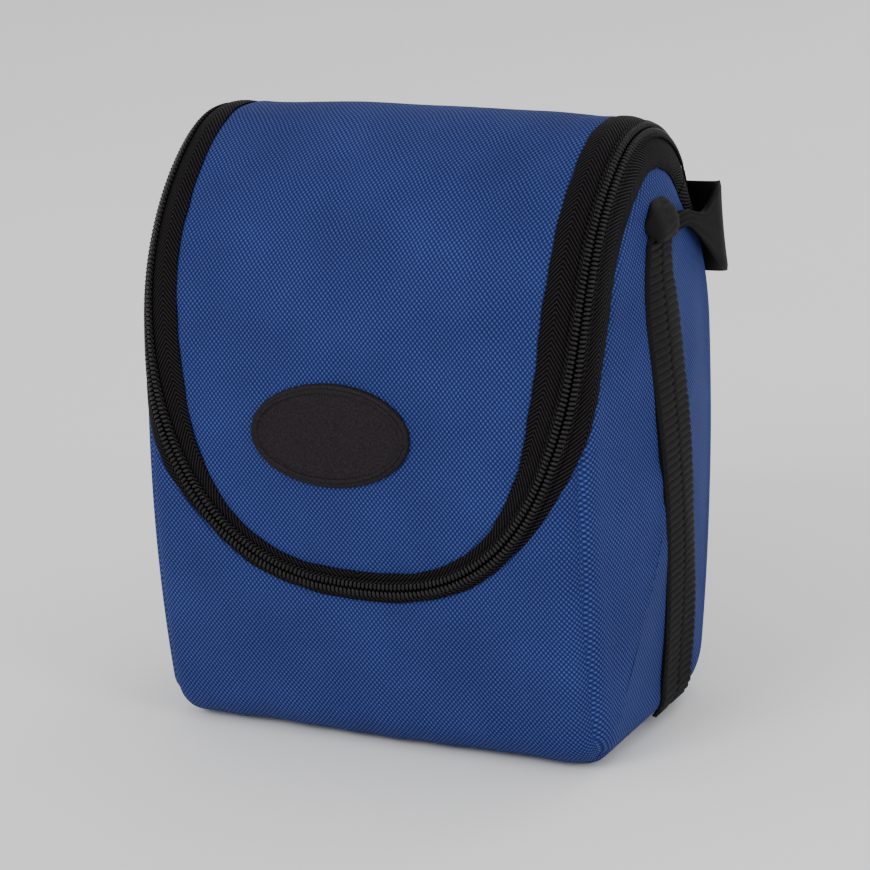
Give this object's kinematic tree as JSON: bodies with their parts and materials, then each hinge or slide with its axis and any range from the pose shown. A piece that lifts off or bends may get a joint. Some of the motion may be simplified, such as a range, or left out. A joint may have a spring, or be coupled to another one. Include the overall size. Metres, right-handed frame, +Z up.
{
  "type": "telescope carry case",
  "caption": "Soft padded carry case with a U-shaped zip opening its front and top as one flap, an oval badge, side webbings and a carry strap behind.",
  "frame": {"origin": "on the floor plane, at the middle of the case's width, on the flat base", "axes": "+Z up along the height, front with the flap and badge towards -Y, +X to the case's right as seen from the front"},
  "size_m": [0.1868, 0.1348, 0.21],
  "materials": {
    "shell_fabric": "woven blue polyester with a fine raised dot",
    "foam": "closed-cell foam padding",
    "lining": "smooth black lining cloth",
    "board": "stiff base board",
    "zip_tape": "black herringbone zip tape",
    "zip_coil": "black nylon coil",
    "zip_metal": "black enamelled metal",
    "webbing": "black ribbed webbing",
    "binding": "black binding tape",
    "badge": "fine grained black moulding"
  },
  "bodies": {
    "case": {"back_foam": "foam", "back_lining": "lining", "back_panel": "shell_fabric", "base_foam": "foam", "base_lining": "lining", "base_panel": "shell_fabric", "base_seam_binding": "binding", "base_stiffener": "board", "body_zip_coil": "zip_coil", "body_zip_tape": "zip_tape", "front_foam": "foam", "front_lining": "lining", "front_panel": "shell_fabric", "hinge_seam_binding": "binding", "side_foam_left": "foam", "side_foam_right": "foam", "side_lining_left": "lining", "side_lining_right": "lining", "side_panel_left": "shell_fabric", "side_panel_right": "shell_fabric", "side_webbing_left": "webbing", "side_webbing_right": "webbing", "strap_end_left": "webbing", "strap_end_right": "webbing", "webbing_loop_left": "webbing", "webbing_loop_right": "webbing", "zip_end_stop_left": "zip_metal", "zip_end_stop_right": "zip_metal", "zip_tail_coil_left": "zip_coil", "zip_tail_coil_right": "zip_coil", "zip_tail_tape_left": "zip_tape", "zip_tail_tape_right": "zip_tape"},
    "flap": {"flap_panel": "shell_fabric", "flap_foam": "foam", "flap_lining": "lining", "flap_zip_tape": "zip_tape", "flap_zip_coil": "zip_coil", "badge": "badge"},
    "carry_strap": {"carry_strap": "webbing"},
    "zip_slider": {"zip_slider": "zip_metal"},
    "pull_tab": {"pull_tab": "zip_metal"}
  },
  "joints": [
    {"name": "flap_hinge", "type": "hinge", "parent": "case", "child": "flap", "pos_m": [0, 0.0344, 0.19112], "axis": [-1, 0, 0], "range_deg": [0, 110]},
    {"name": "strap_swing", "type": "hinge", "parent": "case", "child": "carry_strap", "pos_m": [0, 0.016, 0.174], "axis": [1, 0, 0], "range_deg": [0, 108]},
    {"name": "slider_travel", "type": "slide", "parent": "case", "child": "zip_slider", "axis": [-0.2945, -0.5291, 0.7958], "range_m": [0, 0.01]},
    {"name": "pull_tab_swing", "type": "hinge", "parent": "zip_slider", "child": "pull_tab", "pos_m": [-0.07718, 0.04351, 0.17761], "axis": [0.9064, 0.1091, 0.408], "range_deg": [0, 115]}
  ]
}
